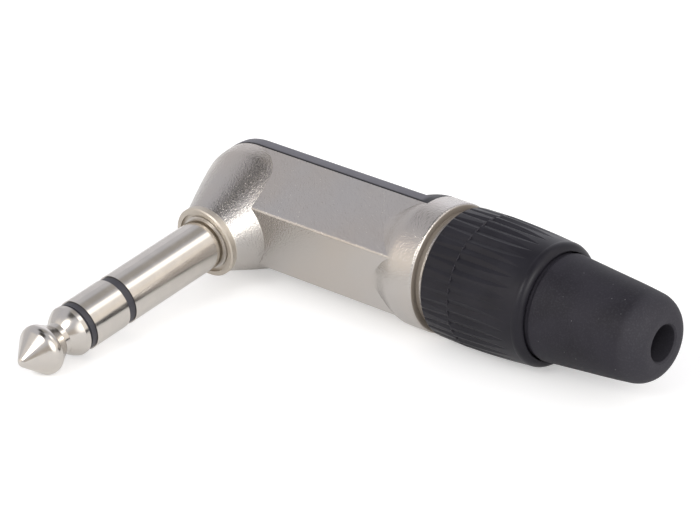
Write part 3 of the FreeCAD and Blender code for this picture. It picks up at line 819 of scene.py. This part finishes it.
@dataclass
class SubAssembly:
    """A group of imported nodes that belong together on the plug."""

    dresser: Dresser
    nodes: tuple[str, ...]
    title: str

    def dress(self) -> None:
        """Paints each node with the finish that the record gives it."""
        slots = {part["node"]: part["material_slot"] for part in frame["record"]["subparts"]}
        for name in self.nodes:
            self.dresser.paint(frame["nodes"][name], slots[name])
            LOG.info("%s: %s wears %s", self.title, name, slots[name])

    def build(self) -> None:
        """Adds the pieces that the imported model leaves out; a plain group has none."""

    def wind(self, ridge: ThreadRidge) -> None:
        """Winds a thread ridge, paints it and reports it.

        Args:
            ridge: The ridge, with the slot of what it is cut from.
        """
        piece = ridge.build()
        self.dresser.paint(piece, ridge.slot)
        LOG.info("%s: %s wound", self.title, piece.name)


@dataclass
class Housing(SubAssembly):
    """Die-cast housing and its back cover, with the thread on the housing's neck."""

    neck_start_mm: float = 32.35
    neck_end_mm: float = 37.55
    neck_radius_mm: float = 6.1
    thread_radius_mm: float = 6.44

    def build(self) -> None:
        """Winds the outside thread."""
        self.wind(ThreadRidge("neck_thread", Body.HOUSING, "satin_nickel", self.neck_start_mm,
                              self.neck_end_mm, self.neck_radius_mm, self.thread_radius_mm))


@dataclass
class Gland(SubAssembly):
    """Gland nut, chuck and boot, with the thread in the nut's bore."""

    bore_start_mm: float = 33.0
    bore_end_mm: float = 38.2
    bore_radius_mm: float = 6.62
    thread_radius_mm: float = 6.23

    def build(self) -> None:
        """Winds the inside thread half a turn off the neck's."""
        lead = math.tau * (self.bore_start_mm - Housing.neck_start_mm)
        self.wind(ThreadRidge("nut_thread", Body.GLAND, "nut_plastic", self.bore_start_mm,
                              self.bore_end_mm, self.bore_radius_mm, self.thread_radius_mm,
                              phase=lead + math.pi))


def direction(azimuth_deg: float, elevation_deg: float) -> Vector:
    """Unit vector for an azimuth counted from -Y towards +X and an elevation above level.

    Args:
        azimuth_deg: 0 is along the finger, 90 along the body towards the gland.
        elevation_deg: Height above level.

    Returns:
        The direction.
    """
    azimuth, elevation = math.radians(azimuth_deg), math.radians(elevation_deg)
    return Vector((math.sin(azimuth) * math.cos(elevation),
                   -math.cos(azimuth) * math.cos(elevation), math.sin(elevation)))


@dataclass(frozen=True)
class Lamp:
    """A soft rectangular studio lamp aimed at the plug."""

    name: str
    azimuth_deg: float
    elevation_deg: float
    size_m: Span
    power: float
    distance_m: float = 0.7

    def build(self, target: Vector) -> None:
        """Hangs the lamp.

        Args:
            target: The point that it faces.
        """
        light = bpy.data.lights.new(self.name, "AREA")
        light.shape = "RECTANGLE"
        light.size, light.size_y = self.size_m
        light.energy = self.power
        lamp = bpy.data.objects.new(self.name, light)
        bpy.context.scene.collection.objects.link(lamp)
        away = direction(self.azimuth_deg, self.elevation_deg) * self.distance_m
        lamp.location = target + away
        lamp.rotation_mode = "QUATERNION"
        lamp.rotation_quaternion = (target - lamp.location).to_track_quat("-Z", "Y")


@dataclass(frozen=True)
class Glow:
    """A soft bright or dark patch of the studio's walls, full inside and gone outside."""

    azimuth_deg: float
    elevation_deg: float
    inner_deg: float
    outer_deg: float
    colour: Colour

    def share(self, bench: Bench, toward: bpy.types.NodeSocket) -> Value:
        """How much of the patch shows in a direction.

        Args:
            bench: The world's bench.
            toward: The direction looked in.

        Returns:
            1 inside the patch and 0 outside.
        """
        middle = tuple(direction(self.azimuth_deg, self.elevation_deg))
        near = bench.value("ShaderNodeVectorMath", {"operation": "DOT_PRODUCT"},
                           {0: toward, 1: middle}, "Value")
        return near.ramp(math.cos(math.radians(self.outer_deg)),
                         math.cos(math.radians(self.inner_deg)))


GLOWS = (
    Glow(-35, 20, 8, 32, (1.30, 1.22, 1.13)),
    Glow(-150, 12, 8, 28, (1.20, 1.20, 1.27)),
    Glow(-140, 68, 7, 21, (0.07, 0.068, 0.07)),
    Glow(10, 79, 8, 22, (0.07, 0.066, 0.062)),
    Glow(-168, 56, 6, 18, (0.50, 0.48, 0.46)),
    Glow(130, 18, 8, 22, (1.20, 1.12, 1.03)),
    Glow(135, 36, 6, 18, (1.22, 1.16, 1.11)),
    Glow(42, 14, 6, 20, (0.60, 0.55, 0.50)),
    Glow(0, 46, 9, 20, (2.5, 2.42, 2.3)),
    Glow(82, 26, 15, 33, (2.15, 2.10, 2.02)),
    Glow(144, 46, 4, 12, (2.3, 2.24, 2.15)),
)

LAMPS = (
    Lamp("front_lamp", 0, 46, (0.22, 0.16), 0.9),
    Lamp("right_lamp", 82, 28, (0.26, 0.22), 0.9),
)


@dataclass
class Studio:
    """Floor, lamps, surroundings and the camera of the photograph's view."""

    centre: Vector
    floor_half_m: float = 1.5
    floor_gap_mm: float = 0.01
    floor_colour: Colour = (0.80, 0.80, 0.80)
    floor_roughness: float = 0.9
    floor_specular: float = 0.1
    floor_lift: float = 0.16
    camera_share: float = 2.4
    belt_from_tip_mm: float = 3.52
    belt_radius_mm: float = 3.14
    wall_ramp: Span = (-0.2, 0.9)
    low_wall: Colour = (0.79, 0.78, 0.795)
    high_wall: Colour = (0.71, 0.715, 0.765)
    azimuth_deg: float = 44.775
    elevation_deg: float = 31.018
    roll_deg: float = 7.056
    distance_mm: float = 410.63
    aim_mm: Triple = (27.58, 0.0, 0.0)
    across_mm: float = 3.046
    up_mm: float = -5.141
    lens_mm: float = 181.8
    sensor_mm: float = 36.0
    nearest_m: float = 0.01

    def build(self) -> None:
        """Sets up everything round the plug."""
        self.floor()
        self.surroundings()
        for lamp in LAMPS:
            lamp.build(self.centre)
        self.camera()

    def floor(self) -> None:
        """Lays the pale floor under the plug, touching the nut and the belt of the tip."""
        nut_low, nut_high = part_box("gland_nut")
        tip_low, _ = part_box("tip_contact")
        axis_y = (nut_low.y + nut_high.y) / 2
        nut_radius = (nut_high.z - nut_low.z) / 2
        run = axis_y - tip_low.y - self.belt_from_tip_mm * MM
        drop = self.belt_radius_mm * MM
        tilt = math.asin(nut_radius / math.hypot(run, drop)) - math.atan2(drop, run)
        middle = -nut_radius / math.cos(tilt) - self.floor_gap_mm * MM
        half = self.floor_half_m
        corners = [(x, y, middle + (axis_y - y) * math.tan(tilt))
                   for x, y in ((-half, -half), (half, -half), (half, half), (-half, half))]
        data = bpy.data.meshes.new("floor")
        data.from_pydata(corners, [], [(0, 1, 2, 3)])
        floor = bpy.data.objects.new("floor", data)
        bpy.context.scene.collection.objects.link(floor)
        data.materials.append(self.floor_material())

    def floor_material(self) -> bpy.types.Material:
        """Pale matt floor that shows white to the camera and in the metal, and keeps the shadow.

        Returns:
            The floor's material.
        """
        material = bpy.data.materials.new("floor_finish")
        material.use_nodes = True
        bench = Bench(material.node_tree)
        shader = bench.node("ShaderNodeBsdfPrincipled", None, {
            "Base Color": (*self.floor_colour, 1.0),
            "Roughness": self.floor_roughness,
            "Specular IOR Level": self.floor_specular,
        })
        strength = self.shown(bench) * self.floor_lift
        lift = bench.node("ShaderNodeEmission", None, {"Strength": strength})
        both = bench.node("ShaderNodeAddShader", None, {0: shader.outputs[0], 1: lift.outputs[0]})
        bench.node("ShaderNodeOutputMaterial", None, {"Surface": both.outputs[0]})
        return material

    def shown(self, bench: Bench) -> Value:
        """What is seen and what isn't.

        Args:
            bench: The material's bench.

        Returns:
            camera_share for the camera, 1 for metal and anything clear, 0 for the light itself.
        """
        path = bench.node("ShaderNodeLightPath")
        camera, glossy, clear = (Value(bench, path.outputs[name]) for name in
                                 ("Is Camera Ray", "Is Glossy Ray", "Is Transmission Ray"))
        return camera * self.camera_share + glossy + clear

    def surroundings(self) -> None:
        """Paints the studio's walls: grey in general, with soft lamps and a dark ceiling."""
        world = bpy.data.worlds.new("studio")
        bpy.context.scene.world = world
        world.use_nodes = True
        bench = Bench(world.node_tree)
        toward = bench.node("ShaderNodeTexCoord").outputs["Generated"]
        height = bench.along(toward, Axis.Z).ramp(*self.wall_ramp)
        colour = bench.blend(height, self.low_wall, self.high_wall)
        for glow in GLOWS:
            colour = bench.blend(glow.share(bench, toward), colour, glow.colour)
        back = bench.node("ShaderNodeBackground", None, {"Color": colour, "Strength": 1.0})
        bench.node("ShaderNodeOutputWorld", None, {"Surface": back.outputs[0]})

    def camera(self) -> None:
        """Places the camera where the photograph was taken from."""
        azimuth = math.radians(self.azimuth_deg)
        back = direction(self.azimuth_deg, self.elevation_deg)
        level = Vector((math.cos(azimuth), math.sin(azimuth), 0.0))
        upright = back.cross(level)
        roll = math.radians(self.roll_deg)
        right = level * math.cos(roll) - upright * math.sin(roll)
        up = level * math.sin(roll) + upright * math.cos(roll)
        place = Vector(self.aim_mm) - right * self.across_mm - up * self.up_mm
        place += back * self.distance_mm
        data = bpy.data.cameras.new("camera")
        data.lens = self.lens_mm
        data.sensor_width = self.sensor_mm
        data.clip_start = self.nearest_m
        camera = bpy.data.objects.new("camera", data)
        bpy.context.scene.collection.objects.link(camera)
        turn = Matrix((right, up, back)).transposed().to_4x4()
        camera.matrix_world = Matrix.Translation(place * MM) @ turn
        bpy.context.scene.camera = camera


def main() -> None:
    """Builds the sub-assemblies in order, dresses them and sets up the studio."""
    logging.basicConfig(level=logging.INFO, format="%(name)s: %(message)s")
    dresser = Dresser()
    groups = (
        Housing(dresser, ("shell", "back_cover", "cavity_liner"), "housing"),
        SubAssembly(dresser, ("sleeve_contact", "ring_band", "ring_contact", "tip_band",
                              "tip_contact", "outer_tube", "inner_tube"), "finger"),
        SubAssembly(dresser, ("sleeve_terminal", "front_washer", "ring_terminal",
                              "rear_washer", "tip_terminal", "rod_washer"), "terminals"),
        Gland(dresser, ("chuck", "gland_nut", "boot"), "gland"),
    )
    for group in groups:
        group.dress()
        group.build()
    low, high = CAD_BOX
    Studio((low + high) / 2).build()
    bpy.context.scene.view_settings.view_transform = "Standard"


if __name__ == "__main__":
    main()
